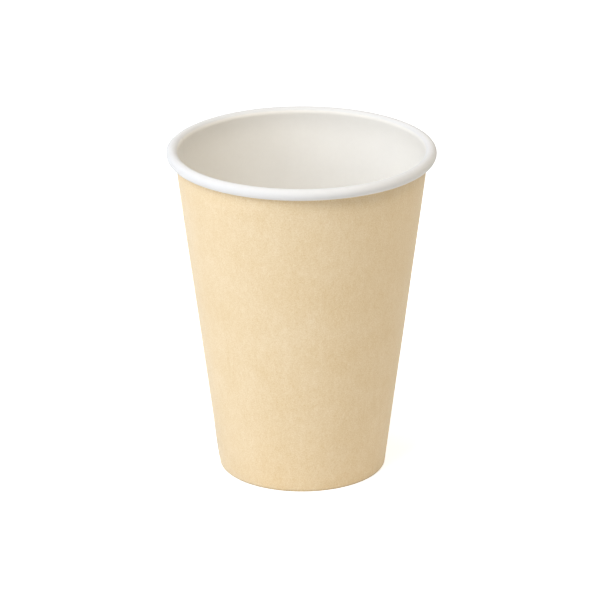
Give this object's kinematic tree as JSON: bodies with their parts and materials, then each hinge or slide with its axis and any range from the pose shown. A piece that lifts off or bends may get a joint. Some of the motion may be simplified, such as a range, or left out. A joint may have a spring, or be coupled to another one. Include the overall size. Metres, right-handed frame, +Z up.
{
  "type": "paper coffee cup",
  "caption": "Single-wall paper coffee cup: tapered kraft sidewall with a rolled white rim, and a recessed bottom disc held in its folded foot.",
  "frame": {"origin": "centre of the ring that the cup stands on", "axes": "+Z up along the cup's axis, towards the rim; the side seam is 170 degrees round from +X"},
  "size_m": [0.09, 0.09, 0.1131],
  "materials": {
    "kraft_board": "matt uncoated kraft outside, white sealed coating inside and on the rolled rim",
    "white_board": "white board with a thin satin sealed coating"
  },
  "bodies": {
    "root": {"sidewall": "kraft_board", "bottom_disc": "white_board"}
  },
  "joints": []
}
